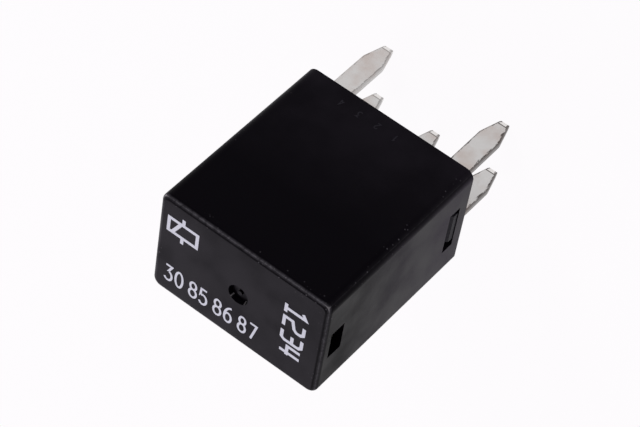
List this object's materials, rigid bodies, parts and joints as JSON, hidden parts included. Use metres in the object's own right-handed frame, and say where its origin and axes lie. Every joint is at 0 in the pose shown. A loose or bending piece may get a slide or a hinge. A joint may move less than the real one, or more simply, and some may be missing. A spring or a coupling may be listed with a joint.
{
  "type": "automotive relay",
  "caption": "Small plug-in changeover relay: black clip-on case with rounded edges and side windows over a clapper magnet, with flat blade terminals out of its base.",
  "frame": {"origin": "centre of the base's underside, on the seating plane from which the blades stand out", "axes": "+Z to the label end, away from the blades; X along the case's width, from the yoke side to the contact side; Y through the case's depth, with the coil terminals on the +Y side"},
  "size_m": [0.0226, 0.015, 0.0363],
  "materials": {
    "cover_moulding": "moulded, fine satin",
    "base_moulding": "moulded, satin",
    "tinned_blade": "tin plated, drawn",
    "silver_contact": "headed silver alloy",
    "spring_bronze": "rolled strip",
    "nickel_plated_iron": "stamped and nickel plated",
    "bare_iron": "turned",
    "bobbin_moulding": "moulded, satin",
    "enamelled_copper": "enamelled wire",
    "solder": "frozen solder"
  },
  "bodies": {
    "relay": {"cover": "cover_moulding", "base": "base_moulding", "terminal_30": "tinned_blade", "terminal_85": "tinned_blade", "terminal_86": "tinned_blade", "terminal_87": "tinned_blade", "terminal_87a": "tinned_blade", "contact_87": "silver_contact", "contact_87a": "silver_contact", "yoke": "nickel_plated_iron", "core": "bare_iron", "bobbin": "bobbin_moulding", "winding": "enamelled_copper", "lead_wire_85": "enamelled_copper", "lead_wire_86": "enamelled_copper", "solder_85": "solder", "solder_86": "solder"},
    "armature": {"armature": "nickel_plated_iron", "moving_contact": "silver_contact", "contact_spring": "spring_bronze"}
  },
  "joints": [
    {"name": "armature_hinge", "type": "hinge", "parent": "relay", "child": "armature", "pos_m": [-0.00895, 0, 0.01822], "axis": [0, 1, 0], "range_deg": [0, 2.69], "stiffness_Nm_per_rad": 0.05, "springref_deg": -5.73, "deforming": ["contact_spring"]}
  ]
}
